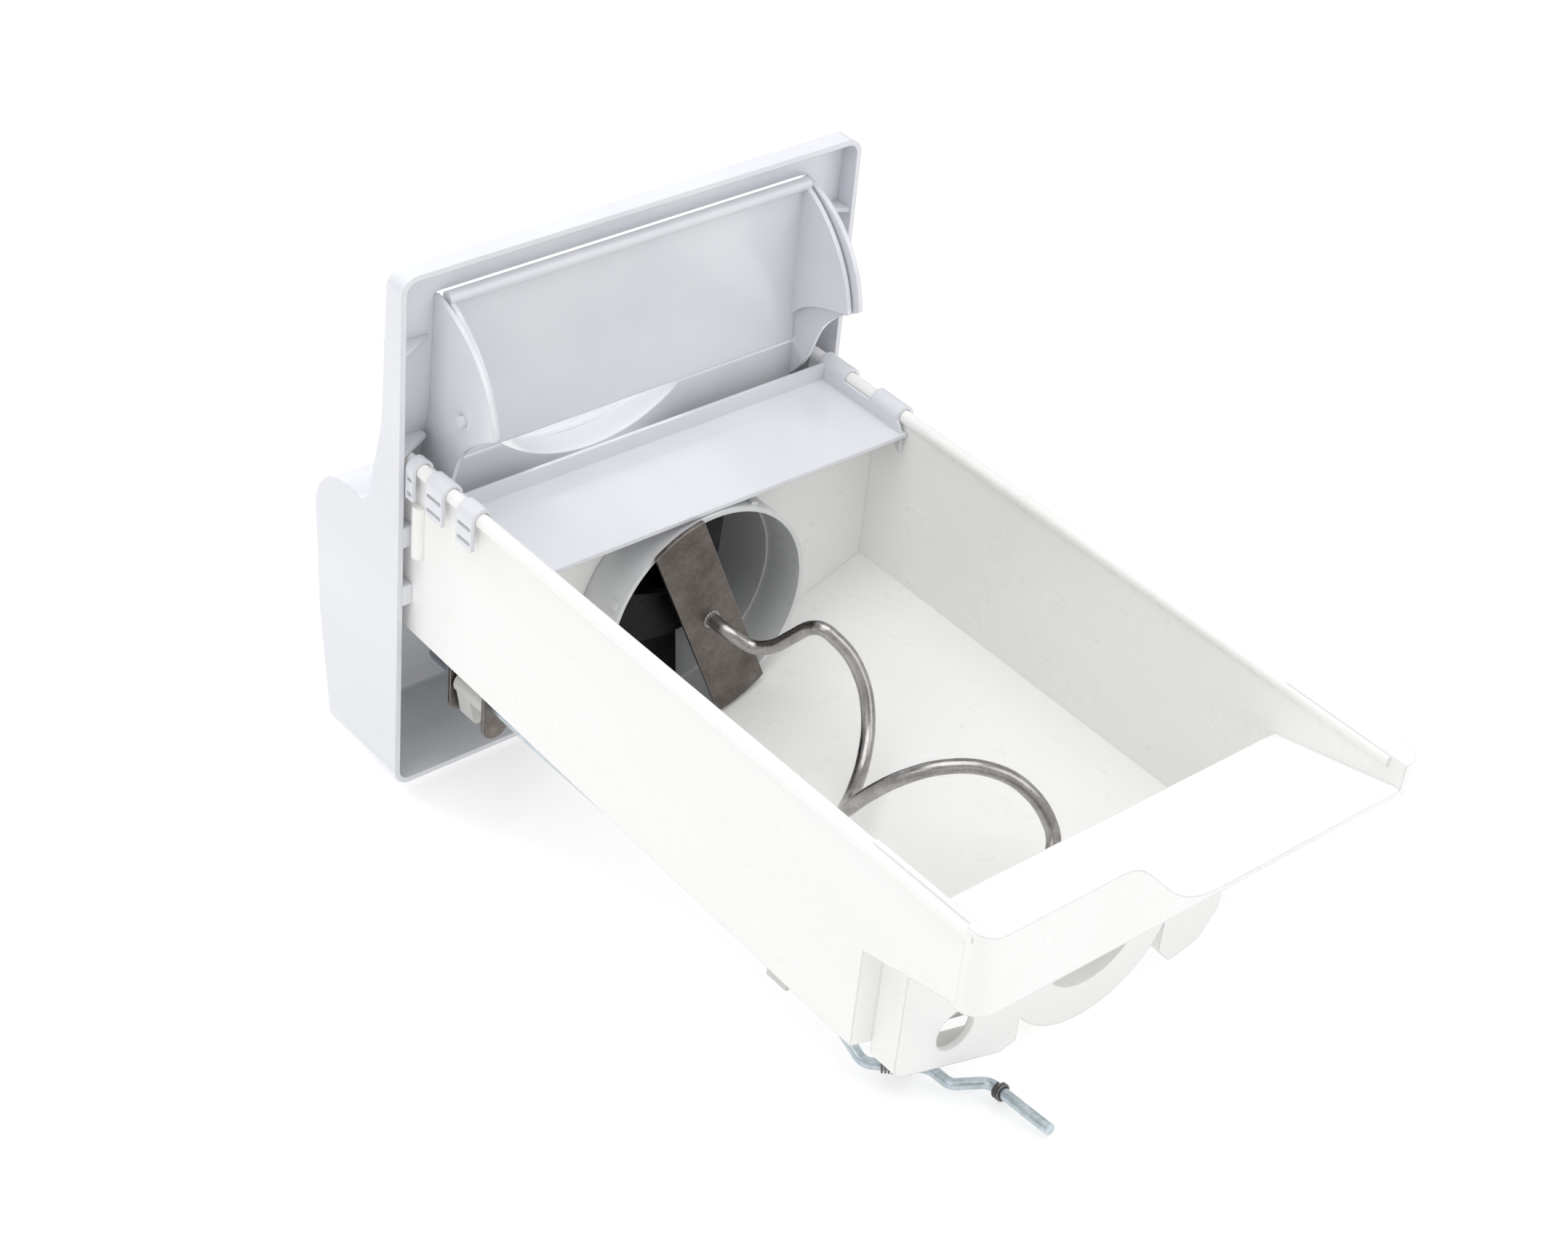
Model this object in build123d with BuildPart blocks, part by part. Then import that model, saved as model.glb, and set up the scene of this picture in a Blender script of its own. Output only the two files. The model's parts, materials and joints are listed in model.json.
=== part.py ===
from build123d import *

import os
from math import acos, atan2, cos, degrees, hypot, pi, radians, sin, tan

# Ice storage bin with a wire auger and a crusher, as it slides out of a freezer.
# X runs across the bin, +X towards its taller wall. Y runs back along the bin from the
# rear rim of the front cover. Z is up from the cover's underside. Millimetres.

# Front cover: a hollow bezel, thin above and bulged below, open at the back
cover_width = 240
cover_height = 258
cover_wall = 2.5
cover_corner = 8
bulge_depth = 65.3
bulge_height = 141
panel_depth = 10.8
gusset_heights = (172.6, 221)
gusset_reach = 17
gusset_wall = 2

# Window and access flap in the upper panel
window_half_width = cover_width / 2 - 23
window_low = 156
window_high = 242
finger_notch_x = 16
finger_notch_half = 47
finger_notch_low = 141.5
finger_notch_reach = 31
shelf_wall = 2
flap_wall = 2.4
flap_low = 160.5
flap_high = 240
flap_face_y = -5
flap_half_width = window_half_width - 2
flap_bead_radius = 3
flap_pivot_y = 13.5
flap_pivot_z = 193
flap_pin_radius = 2.5
wing_radius = 54
wing_centre_y = -19
wing_centre_z = 188
wing_gap = 1

# Bin: a tub with a deep trough under the auger, taller on its left side
bin_left = cover_width / 2 - 7
bin_right = 8 - cover_width / 2
bin_wall = 2.5
bin_front = -8
bin_back = 292
left_rim = 172
right_rim = 150
rim_bead_radius = 3.2
rim_overhang = 0.7
front_corner_z = (84, 62)
rear_corner_z = (74, 60)
trough_front_radius = 66.5
trough_rear_radius = 41
front_wall_y = 37
front_wall_height = 128
rib_y = 5
rib_z = (126, 152)
rib_radius = 3.4

# Rear of the bin: ramp, lip, block and drive housing
lip_back = bin_back + 61
lip_wall = 3
ramp_low = 124
ramp_high = 138
apron_high = 173
block_back = bin_back + 14
block_left = bin_left - 11
block_right = 36
foot_left = -42
foot_right = -75
block_wall = 3
peg_hole_radius = 9.5
peg_hole_x = 72
peg_hole_z = 71
drive_housing_radius = 45
drive_recess_radius = 26.5

# Crusher, on the auger's axis
axis_z = 85
drum_radius = 54
drum_wall = 2.2
drum_front = -44
drum_shoulder = -4
drum_back = 62
drum_step_y = 40
drum_gap = 0.3
drum_outlet_half = 30
nose_radius = drum_radius - 5
drum_bore = drum_radius - drum_wall - 1
nub_y = (57, 60)
nub_width = 4
flange_radius = drum_radius + 5
flange_wall = 2.4
flange_top = 127.5
blade_wall = 4
rotor_y = {"rear": 50, "middle": 28, "front": 6}
rotor_turn = {"rear": 0, "middle": -12, "front": -24}
rotor_arms = (8, 84)
rotor_radius = drum_bore - 2.8
hub_radius = 11
spacer_radius = 9
fixed_blade_y = (36, 17, -1)
fixed_blade_wall = 3
fixed_blade_angles = (-95, -35)
shaft_shoulder = -47
stud_radius = 4
stud_front = -56
washer_radius = 9
washer_wall = 1.5
nut_radius = 6.5
nut_wall = 6
running_gap = 0.06

# Auger line
wire_radius = 3.175
helix_radius = 27.5
helix_pitch = 118.5
helix_phase = 0.95
helix_phase_y = 94
helix_start = 118
helix_end = bin_back - 34
helix_turn_step = 30
shaft_radius = 5
plate_width = 27
plate_wall = 2
plate_tip_radius = drum_radius + 1.5
plate_angle = 66.7
plate_y = drum_back + 1
shaft_back = plate_y

# Discharge chute and its gate
chute_top_half = 35
chute_low_half = 28
chute_front = -40
chute_back = -11
chute_low = 8
chute_top = 52
chute_wall = 2
gate_x = 25
gate_z = 28
gate_length = 18
gate_tilt = 15
gate_end_gap = 0.5
gate_shaft_front = -50
gate_wall = 1.8
gate_shaft_radius = 2

# Selector rod under the bin
rod_radius = 2.38
rod_x = bin_left - 21
rod_z = 55
rod_front_crank_y = -16
rod_pin_x = 56
rod_pin_z = 44
rod_tip_y = -51
lever_y = -49
lever_wall = 2
lever_height = 13
lever_reach = 41.5
lever_slot_start = 32.5
lever_slot_gap = 0.8
cam_radius = 5.5
cam_y = (10.5, 32)
cam_lobe_y = (12, 22)
cam_lobe_low = 38
bracket_y = (8, 33)
bracket_wall = 1.6
bracket_half = 6.5
bracket_low = 45.5
bracket_base = 2
guide_y = (bin_back - 66, bin_back - 54)
guide_half = 5
guide_low = 51
coil_gap = 0.27

# Deflector tray over the crusher
tray_wall = 2
tray_z = axis_z + drum_radius + 2.4
tray_front = 4
tray_back = 61
tray_end_gap = 0.3
tray_back_wall_top = 149
hook_wall = 1.6
hook_gap = 0.3
left_hooks = ((0.5, 6), (15, 27), (37, 48))
left_hook_drop = 13.8
left_hook_slots = (3.8, 10.8)
right_hooks = ((2, 19), (38, 56))
right_hook_drop = 6

# Bearings
bush_bore = 12
bush_radius = 14.5
bush_flange_radius = 18
bush_flange_wall = 2
bearing_radius = 8
bearing_flange_radius = 11
bearing_flange_wall = 2
bearing_back = -36
bearing_boss_radius = 11
coupler_radius = 25.5
coupler_wall = 3.7
coupler_gap = 1.3
coupler_hub_front = bin_back - 13
lug_half_width = 3
lug_length = 20
lug_x = 12
lug_back = bin_back + 11

# Fasteners
flange_screw_ring = drum_radius + 2.8
flange_screw_radius = 1.2
flange_screw_head = 2.1
flange_screw_head_height = 2.1
screw_radius = 1.75
screw_head_radius = 3.2
screw_head_height = 2.2
screw_length = 5

fit_gap = 0.05
seat_gap = 0.1


def cover_outline(rear):
    """Side outline of the cover in Y and Z, closed by an upright line at the given Y."""
    slope = 4.2 / 52.3
    corners = [
        ((rear, -rear * slope), 0),
        ((-52.3, 4.2), 5),
        ((-60.8, 60), 120),
        ((-bulge_depth, bulge_height + 2), 24),
        ((-24, bulge_height - 3.5), 8),
        ((-13.6, 185), 60),
        ((-panel_depth, cover_height), 2.5),
        ((rear, cover_height), 0),
    ]
    return FilletPolyline(*[c[0] for c in corners], radius=[c[1] for c in corners], close=True)


def tangent_on_trough(corner_x, corner_z, radius):
    """Point where a line from a lower corner of the tub meets the trough's arc."""
    side = 1 if corner_x > 0 else -1
    reach = hypot(corner_x, corner_z - axis_z)
    bearing = atan2(corner_z - axis_z, corner_x)
    turn = acos(radius / reach)
    angle = bearing - side * turn
    return radius * cos(angle), axis_z + radius * sin(angle)


def tub_outline(left_z, right_z, radius, inset, rim_extra):
    """Cross-section of the tub in X and Z, moved in by inset, its rims raised by rim_extra."""
    left_x, right_x = bin_left - inset, bin_right + inset
    low_left, low_right = (left_x, left_z + inset), (right_x, right_z + inset)
    touch_left = tangent_on_trough(*low_left, radius - inset)
    touch_right = tangent_on_trough(*low_right, radius - inset)
    bottom = (0, axis_z - radius + inset)
    Polyline((right_x, right_rim + rim_extra), low_right, touch_right)
    ThreePointArc(touch_right, bottom, touch_left)
    Polyline(touch_left, low_left, (left_x, left_rim + rim_extra), (right_x, right_rim + rim_extra))


def helix_point(y):
    """Centre of the auger wire at a distance y along the bin."""
    angle = helix_phase + 2 * pi * (y - helix_phase_y) / helix_pitch
    return (helix_radius * cos(angle), y, axis_z + helix_radius * sin(angle))


def ramp_under(y):
    """Height of the ramp's underside at a distance y along the bin."""
    share = (y - bin_back + bin_wall) / (lip_back - lip_wall - bin_back + bin_wall)
    return ramp_low - bin_wall + (ramp_high - ramp_low) * share


def smooth_radii(points, share=0.45):
    """Largest even bend radius at each inner point of a bent wire."""
    radii = []
    for before, here, after in zip(points, points[1:], points[2:]):
        run_in, run_out = Vector(*here) - Vector(*before), Vector(*after) - Vector(*here)
        turn = radians(run_in.get_angle(run_out))
        radii.append(share * min(run_in.length, run_out.length) / tan(turn / 2))
    return radii


def polar(radius, angle):
    """Point in X and Z at a radius and an angle in degrees about the auger line."""
    return radius * cos(radians(angle)), axis_z + radius * sin(radians(angle))


def bar(low_y, high_y, radius, x=0, z=axis_z, mode=Mode.ADD):
    """Round bar along Y, on the auger line unless placed elsewhere."""
    with BuildSketch(Plane.XZ.offset(-low_y)) as profile:
        with Locations((x, z)):
            Circle(radius)
    extrude(profile.sketch, amount=low_y - high_y, mode=mode)


def save(piece, name):
    """Labels a finished piece and writes it to its own file."""
    piece.label = name
    export_step(piece, f"parts/{name}.step")


os.makedirs("parts", exist_ok=True)

# --- Space inside the cover, and the outer body of the tub, used to fit other pieces ---

with BuildPart() as cover_cavity:
    with BuildSketch(Plane.YZ.offset(-cover_width / 2 + cover_wall)):
        with BuildLine():
            cover_outline(cover_wall + 40)
        make_face()
        offset(amount=-cover_wall)
    extrude(amount=cover_width - 2 * cover_wall)
    with BuildSketch(Plane.XZ.offset(-60)):
        with Locations((0, cover_height / 2)):
            RectangleRounded(cover_width - 2 * cover_wall, cover_height - 2 * cover_wall,
                             cover_corner - cover_wall)
    extrude(amount=140, mode=Mode.INTERSECT)

with BuildPart() as tub_body:
    with BuildSketch(Plane.XZ.offset(-bin_front)):
        with BuildLine():
            tub_outline(*front_corner_z, trough_front_radius, 0, -rim_bead_radius)
        make_face()
    with BuildSketch(Plane.XZ.offset(-bin_back)):
        with BuildLine():
            tub_outline(*rear_corner_z, trough_rear_radius, 0, -rim_bead_radius)
        make_face()
    loft(ruled=True)

with BuildPart() as tub_space:
    with BuildSketch(Plane.XZ.offset(-bin_front)):
        with BuildLine():
            tub_outline(*front_corner_z, trough_front_radius, bin_wall, 20)
        make_face()
    with BuildSketch(Plane.XZ.offset(-(bin_back - bin_wall))):
        with BuildLine():
            tub_outline(*rear_corner_z, trough_rear_radius, bin_wall, 20)
        make_face()
    loft(ruled=True)

# --- Front cover ---

boss_reach_left = cover_width / 2 - cover_wall - bin_left - seat_gap
boss_reach_right = cover_width / 2 - cover_wall + bin_right - seat_gap
cover_screw_y = bin_front / 2
cover_screw_z = (104, 134)

with BuildPart() as front_cover:
    with BuildSketch(Plane.YZ.offset(-cover_width / 2)):
        with BuildLine():
            cover_outline(0)
        make_face()
    extrude(amount=cover_width)
    with BuildSketch(Plane.XZ.offset(-1)):
        with Locations((0, cover_height / 2)):
            RectangleRounded(cover_width, cover_height, cover_corner)
    extrude(amount=80, mode=Mode.INTERSECT)
    add(cover_cavity.part, mode=Mode.SUBTRACT)
    with BuildSketch(Plane.XZ.offset(-1)):
        with BuildLine():
            left, right = finger_notch_x + finger_notch_half, finger_notch_x - finger_notch_half
            Polyline((left, window_low), (window_half_width, window_low),
                     (window_half_width, window_high), (-window_half_width, window_high),
                     (-window_half_width, window_low), (right, window_low))
            ThreePointArc((right, window_low), (finger_notch_x, finger_notch_low), (left, window_low))
        make_face()
    extrude(amount=finger_notch_reach, mode=Mode.SUBTRACT)
    for side in (1, -1):
        inner_x = side * (cover_width / 2 - cover_wall)
        for height in gusset_heights:
            with BuildSketch(Plane.XY.offset(height)):
                with BuildLine():
                    Polyline((inner_x + side, -15), (inner_x + side, -1),
                             (inner_x, -1), (inner_x - side * gusset_reach, -9.5),
                             (inner_x - side * gusset_reach, -15), close=True)
                make_face()
            extrude(amount=gusset_wall)
    for side, reach in ((1, boss_reach_left), (-1, boss_reach_right)):
        for height in cover_screw_z:
            with BuildSketch(Plane.YZ.offset(side * (cover_width / 2 - cover_wall + 0.5))):
                with Locations((cover_screw_y, height)):
                    Rectangle(9, 10)
            extrude(amount=-side * (reach + 0.5))
            with BuildSketch(Plane.YZ.offset(side * (cover_width / 2 - cover_wall - reach))):
                with Locations((cover_screw_y, height)):
                    Circle(screw_radius)
            extrude(amount=side * (reach - 0.8 + 1), mode=Mode.SUBTRACT)
    with BuildSketch(Plane.XY.offset(-1)):
        with Locations((0, (chute_front + chute_back) / 2)):
            RectangleRounded(2 * chute_low_half, chute_back - chute_front - 4, 4)
    extrude(amount=10, mode=Mode.SUBTRACT)
    with BuildSketch(Plane.XZ.offset(-1)):
        with Locations((0, cover_height / 2)):
            RectangleRounded(cover_width, cover_height, cover_corner)
    extrude(amount=80, mode=Mode.INTERSECT)

save(front_cover.part, "front_cover")

# --- Access frame: side wings and a lower band behind the window ---

wing_low_curve = [(34.5, 194.3), (25.6, 188.2), (16.8, 180.6), (10.5, 171.7), (6.1, 159.9),
                  (0.9, 149.5), (-8, 140)]
wing_top = (wing_centre_y + 5, wing_centre_z + (wing_radius**2 - 25) ** 0.5)
wing_tip = (wing_centre_y + (wing_radius**2 - 36) ** 0.5, wing_centre_z + 6)
wing_bulge = (wing_centre_y + wing_radius * cos(pi / 4), wing_centre_z + wing_radius * sin(pi / 4))
frame_inner = flap_half_width + wing_gap
band_y = (-8.2, -6)
band_z = (135, 158)
notch_ends = ((right, band_z[1]), (left, band_z[1]))

with BuildPart() as access_frame:
    for side in (1, -1):
        with BuildSketch(Plane.YZ.offset(side * frame_inner)):
            with BuildLine():
                ThreePointArc(wing_top, wing_bulge, wing_tip)
                Spline(wing_tip, *wing_low_curve[1:])
                Polyline(wing_low_curve[-1], (-8, band_z[0]), (-24, band_z[0]), (-24, wing_top[1]), wing_top)
            make_face()
            with Locations((flap_pivot_y, flap_pivot_z)):
                Circle(flap_pin_radius + running_gap, mode=Mode.SUBTRACT)
        extrude(amount=side * flap_wall)
    with BuildSketch(Plane.XZ.offset(-band_y[0])):
        with Locations((0, (band_z[0] + band_z[1]) / 2)):
            Rectangle(2 * frame_inner + 1, band_z[1] - band_z[0])
        with BuildLine():
            Line(*notch_ends)
            ThreePointArc(notch_ends[0], (finger_notch_x, finger_notch_low), notch_ends[1])
        make_face(mode=Mode.SUBTRACT)
    extrude(amount=band_y[0] - band_y[1])
    # shelf from the band forward to the cover, dipping into a scoop for the fingers
    with BuildSketch(Plane.XZ.offset(-band_y[0])):
        with BuildLine():
            Polyline((-frame_inner, band_z[1] - shelf_wall), (-frame_inner, band_z[1]), notch_ends[0])
            ThreePointArc(notch_ends[0], (finger_notch_x, finger_notch_low), notch_ends[1])
            Polyline(notch_ends[1], (frame_inner, band_z[1]), (frame_inner, band_z[1] - shelf_wall),
                     (left, band_z[1] - shelf_wall))
            ThreePointArc((left, band_z[1] - shelf_wall), (finger_notch_x, finger_notch_low - shelf_wall),
                          (right, band_z[1] - shelf_wall))
            Line((right, band_z[1] - shelf_wall), (-frame_inner, band_z[1] - shelf_wall))
        make_face()
    extrude(amount=finger_notch_reach)
    add(cover_cavity.part, mode=Mode.INTERSECT)

save(access_frame.part, "access_frame")

# --- Access flap: panel, quadrant wings, rolled top bead and two pivot pins ---

flap_inner = flap_half_width - flap_wall

with BuildPart() as access_flap:
    with BuildSketch(Plane.XZ.offset(-flap_face_y)):
        with Locations((0, (flap_low + flap_high) / 2)):
            Rectangle(2 * flap_half_width, flap_high - flap_low)
    extrude(amount=flap_wall)
    with BuildSketch(Plane.YZ.offset(-flap_half_width)):
        with Locations((flap_face_y, flap_high)):
            Circle(flap_bead_radius)
    extrude(amount=2 * flap_half_width)
    for side in (1, -1):
        with BuildSketch(Plane.YZ.offset(side * flap_inner)):
            with BuildLine():
                flap_top = (flap_face_y, flap_high)
                flap_tip = (31.5, 192)
                ThreePointArc(flap_top, (17.6, 222.5), flap_tip)
                Spline(flap_tip, (18.6, 188.5), (5, 183), (flap_face_y, 174))
                Polyline((flap_face_y, 174), (flap_face_y, flap_low), (flap_face_y - 1, flap_low),
                         (flap_face_y - 1, flap_high), flap_top)
            make_face()
        extrude(amount=side * flap_wall)
        with BuildSketch(Plane.YZ.offset(side * flap_half_width)):
            with Locations((flap_pivot_y, flap_pivot_z)):
                Circle(flap_pin_radius)
        extrude(amount=side * (wing_gap + flap_wall + 2.6))

save(access_flap.part, "access_flap")

# --- Bin: tub, rims, front wall, ramp, lip, block and drive housing in one moulding ---

lip_left = bin_left + 2
lip_right = bin_right - 8
ramp_back = lip_back - lip_wall

with BuildPart() as cross_wall:
    with BuildSketch(Plane.XZ.offset(-front_wall_y)):
        with Locations((0, front_wall_height / 2)):
            Rectangle(2 * bin_left, front_wall_height)
        with Locations((0, axis_z)):
            Circle(drum_radius + drum_gap, mode=Mode.SUBTRACT)
            with PolarLocations(flange_screw_ring, 4, start_angle=45):
                Circle(flange_screw_radius + 0.05, mode=Mode.SUBTRACT)
    extrude(amount=-bin_wall)
    add(tub_body.part, mode=Mode.INTERSECT)

with BuildPart() as hopper:
    with BuildSketch(Plane.XY.offset(ramp_low - bin_wall)):
        with BuildLine():
            FilletPolyline((lip_left, bin_back - bin_wall), (lip_left, lip_back), (lip_right, lip_back),
                           (lip_right, bin_back - bin_wall), radius=(8, 8))
            Line((lip_left, bin_back - bin_wall), (lip_right, bin_back - bin_wall))
        make_face()
    extrude(amount=apron_high)
    with BuildSketch(Plane.XZ.offset(-bin_back + 10)):
        with BuildLine():
            Polyline((50, apron_high), (lip_left, apron_high), (lip_left, 0), (lip_right, 0),
                     (lip_right, right_rim), (bin_right + bin_wall, right_rim),
                     (bin_right + bin_wall, ramp_high), (-8, ramp_high))
            Bezier((-8, ramp_high), (24, ramp_high), (30, apron_high), (50, apron_high))
        make_face()
    extrude(amount=-90, mode=Mode.INTERSECT)

with BuildPart() as ice_bin:
    add(tub_body.part)
    add(hopper.part)
    # drive housing, peg block and foot behind the rear wall
    with BuildSketch(Plane.XZ.offset(-bin_back)):
        with Locations((0, axis_z)):
            Circle(drive_housing_radius)
        with BuildLine():
            FilletPolyline((block_left, ramp_low), (block_left, 62), (44, 43.8), (block_right, 46),
                           (block_right, ramp_low), radius=(6, 4, 0))
            Line((block_right, ramp_low), (block_left, ramp_low))
        make_face()
        with BuildLine():
            FilletPolyline((foot_left, ramp_low), (foot_left, 52), (-50, 42.5), (-66, 46.5),
                           (foot_right, 59), (foot_right, ramp_low), radius=(2, 5, 5, 4))
            Line((foot_right, ramp_low), (foot_left, ramp_low))
        make_face()
    extrude(amount=-(block_back - bin_back))
    # half-round locating rib on the left wall
    with BuildSketch(Plane.XY.offset(rib_z[0])):
        with Locations((bin_left, rib_y)):
            Circle(rib_radius)
    extrude(amount=rib_z[1] - rib_z[0])
    add(tub_space.part, mode=Mode.SUBTRACT)
    # hopper space above the ramp
    with BuildSketch(Plane.YZ.offset(bin_right + bin_wall)):
        with BuildLine():
            FilletPolyline((bin_back - bin_wall - 6, ramp_low), (bin_back - bin_wall, ramp_low),
                           (ramp_back, ramp_high), (ramp_back, left_rim + 30),
                           (bin_back - bin_wall - 6, left_rim + 30), radius=(0, 3, 0))
            Line((bin_back - bin_wall - 6, left_rim + 30), (bin_back - bin_wall - 6, ramp_low))
        make_face()
    extrude(amount=bin_left - bin_right - 2 * bin_wall, mode=Mode.SUBTRACT)
    # outside of the side walls, and the open space under the ramp
    for side_x, lip_x in ((bin_left, lip_left), (bin_right, lip_right)):
        with BuildSketch(Plane.XZ.offset(-(bin_back - bin_wall))):
            with Locations(((side_x + lip_x) / 2, ramp_low)):
                Rectangle(abs(lip_x - side_x), 200)
        extrude(amount=-(ramp_back - bin_back - 6), mode=Mode.SUBTRACT)
    with BuildSketch(Plane.YZ.offset(lip_right - 1)):
        with BuildLine():
            Polyline((block_back, ramp_low - 40), (block_back, ramp_under(block_back)),
                     (ramp_back, ramp_under(ramp_back)), (lip_back + 1, ramp_under(ramp_back)),
                     (lip_back + 1, ramp_low - 40), close=True)
        make_face()
    extrude(amount=lip_left - lip_right + 2, mode=Mode.SUBTRACT)
    for low_x, high_x in ((block_left, lip_left + 1), (lip_right - 1, foot_right)):
        with BuildSketch(Plane.YZ.offset(low_x)):
            with BuildLine():
                Polyline((bin_back, ramp_low - 40), (bin_back, ramp_under(bin_back)),
                         (block_back + 1, ramp_under(block_back + 1)), (block_back + 1, ramp_low - 40),
                         close=True)
            make_face()
        extrude(amount=high_x - low_x, mode=Mode.SUBTRACT)
    # drive recess, bush hole and peg hole
    with BuildSketch(Plane.XZ.offset(-block_back)):
        with Locations((0, axis_z)):
            Circle(drive_recess_radius)
    extrude(amount=block_back - bin_back, mode=Mode.SUBTRACT)
    with BuildSketch(Plane.XZ.offset(-bin_back)):
        with Locations((0, axis_z)):
            Circle(bush_radius + seat_gap)
    extrude(amount=bin_wall + 1, mode=Mode.SUBTRACT)
    with BuildSketch(Plane.XZ.offset(-bin_back)):
        with BuildLine():
            FilletPolyline((block_left - block_wall, ramp_low - bin_wall), (block_left - block_wall, 65),
                           (drive_housing_radius + 3, 50),
                           (drive_housing_radius + 3, ramp_low - bin_wall), radius=(4, 3))
            Line((drive_housing_radius + 3, ramp_low - bin_wall),
                 (block_left - block_wall, ramp_low - bin_wall))
        make_face()
    extrude(amount=-(block_back - bin_back - block_wall), mode=Mode.SUBTRACT)
    with BuildSketch(Plane.XZ.offset(-block_back - 1)):
        with Locations((peg_hole_x, peg_hole_z)):
            Circle(peg_hole_radius)
    extrude(amount=block_wall + 2, mode=Mode.SUBTRACT)
    # front wall, rolled rims and the thick rear edge
    add(cross_wall.part)
    for rim_x, rim_z in ((bin_left - rim_overhang, left_rim - rim_bead_radius),
                         (bin_right + rim_overhang, right_rim - rim_bead_radius)):
        with BuildSketch(Plane.XZ.offset(-bin_front)):
            with Locations((rim_x, rim_z)):
                Circle(rim_bead_radius)
        extrude(amount=-(lip_back - 8 - bin_front))
    for side_x in (bin_left + 1, bin_right - 1):
        with BuildSketch(Plane.YZ.offset(side_x - 8)):
            with Locations(*[(cover_screw_y, height) for height in cover_screw_z]):
                Circle(screw_radius + 0.05)
        extrude(amount=16, mode=Mode.SUBTRACT)

save(ice_bin.part, "ice_bin")

# --- Deflector tray, hooked over both rims ---

tray_under = tray_z - tray_wall
tray_left = bin_left - bin_wall - tray_end_gap
tray_right = bin_right + bin_wall + tray_end_gap
hook_inner = rim_bead_radius + hook_gap
hook_outer = hook_inner + hook_wall
hook_middle = (hook_inner + hook_outer) / 2
left_bead = (bin_left - rim_overhang, left_rim - rim_bead_radius)
right_bead = (bin_right + rim_overhang, right_rim - rim_bead_radius)
web_right = right_bead[0] + hook_inner

with BuildPart() as deflector_tray:
    with BuildSketch(Plane.XY.offset(tray_under)):
        with Locations(((tray_left + tray_right) / 2, (tray_front + tray_back) / 2)):
            Rectangle(tray_left - tray_right, tray_back - tray_front)
    extrude(amount=tray_wall)
    with BuildSketch(Plane.XY.offset(tray_under)):
        with Locations(((tray_left + web_right) / 2, tray_front + tray_wall / 2)):
            Rectangle(tray_left - web_right, tray_wall)
    extrude(amount=tray_back_wall_top - tray_under)
    for side, (bead_x, bead_z), hooks, drop in ((1, left_bead, left_hooks, left_hook_drop),
                                                (-1, right_bead, right_hooks, right_hook_drop)):
        with BuildSketch(Plane.YZ.offset(bead_x - side * hook_inner)):
            with BuildLine():
                Polyline((hooks[0][0], tray_under), (hooks[0][0], bead_z), (hooks[-1][1], bead_z),
                         (tray_back, tray_under), close=True)
            make_face()
        extrude(amount=-side * hook_wall)
        for low_y, high_y in hooks:
            with BuildSketch(Plane.XZ.offset(-low_y)):
                with Locations((bead_x, bead_z)):
                    Circle(hook_outer)
                    Circle(hook_inner, mode=Mode.SUBTRACT)
                with Locations((bead_x, bead_z - hook_outer / 2)):
                    Rectangle(2 * hook_outer, hook_outer, mode=Mode.SUBTRACT)
                with Locations((bead_x + side * hook_middle, bead_z - drop / 2)):
                    Rectangle(hook_wall, drop)
            extrude(amount=low_y - high_y)
    for low_y, high_y in left_hooks:
        with BuildSketch(Plane.YZ.offset(left_bead[0] + hook_inner - 1)):
            with Locations(*[((low_y + high_y) / 2, left_bead[1] - height) for height in left_hook_slots]):
                SlotOverall(high_y - low_y - 2, 1.8)
        extrude(amount=hook_wall + 2, mode=Mode.SUBTRACT)
    with BuildSketch(Plane.YZ.offset(web_right)):
        with BuildLine():
            Polyline((tray_back - 1, tray_under), (tray_back - 9, tray_under),
                     (tray_back - 1, tray_under - 8), close=True)
        make_face()
    extrude(amount=hook_wall)

save(deflector_tray.part, "deflector_tray")

# --- Crusher housing: a drum open to the bin, with a nose over the chute ---

with BuildPart() as crusher_housing:
    bar(drum_front, drum_back, nose_radius)
    bar(drum_shoulder, drum_back, drum_radius)
    with BuildSketch(Plane.XZ.offset(flange_wall + seat_gap - front_wall_y)):
        with Locations((0, axis_z)):
            Circle(flange_radius)
            with PolarLocations(flange_screw_ring, 4, start_angle=45):
                Circle(flange_screw_radius + fit_gap, mode=Mode.SUBTRACT)
        with Locations((0, flange_top + flange_radius / 2)):
            Rectangle(2 * flange_radius, flange_radius, mode=Mode.SUBTRACT)
    extrude(amount=-flange_wall)
    bar(drum_front + drum_wall, drum_shoulder + drum_wall, nose_radius - drum_wall, mode=Mode.SUBTRACT)
    bar(drum_shoulder + drum_wall, drum_step_y, drum_bore, mode=Mode.SUBTRACT)
    bar(drum_step_y, drum_back, drum_radius - drum_wall, mode=Mode.SUBTRACT)
    bar(drum_front, bearing_back, bearing_boss_radius)
    bar(drum_front, bearing_back, bearing_radius + fit_gap, mode=Mode.SUBTRACT)
    # discharge opening in the underside of the nose
    with BuildSketch(Plane.XY.offset(axis_z - nose_radius - 1)):
        with Locations((0, (chute_front + chute_back) / 2)):
            RectangleRounded(2 * drum_outlet_half, chute_back - chute_front - 2 * chute_wall, 3)
    extrude(amount=nose_radius / 2, mode=Mode.SUBTRACT)
    # snap nubs near the open end
    with BuildSketch(Plane.XZ.offset(-nub_y[0])):
        with Locations((0, axis_z)):
            with PolarLocations(drum_radius + 0.5, 4, start_angle=25):
                Rectangle(2, nub_width)
    extrude(amount=nub_y[0] - nub_y[1])

save(crusher_housing.part, "crusher_housing")

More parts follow.
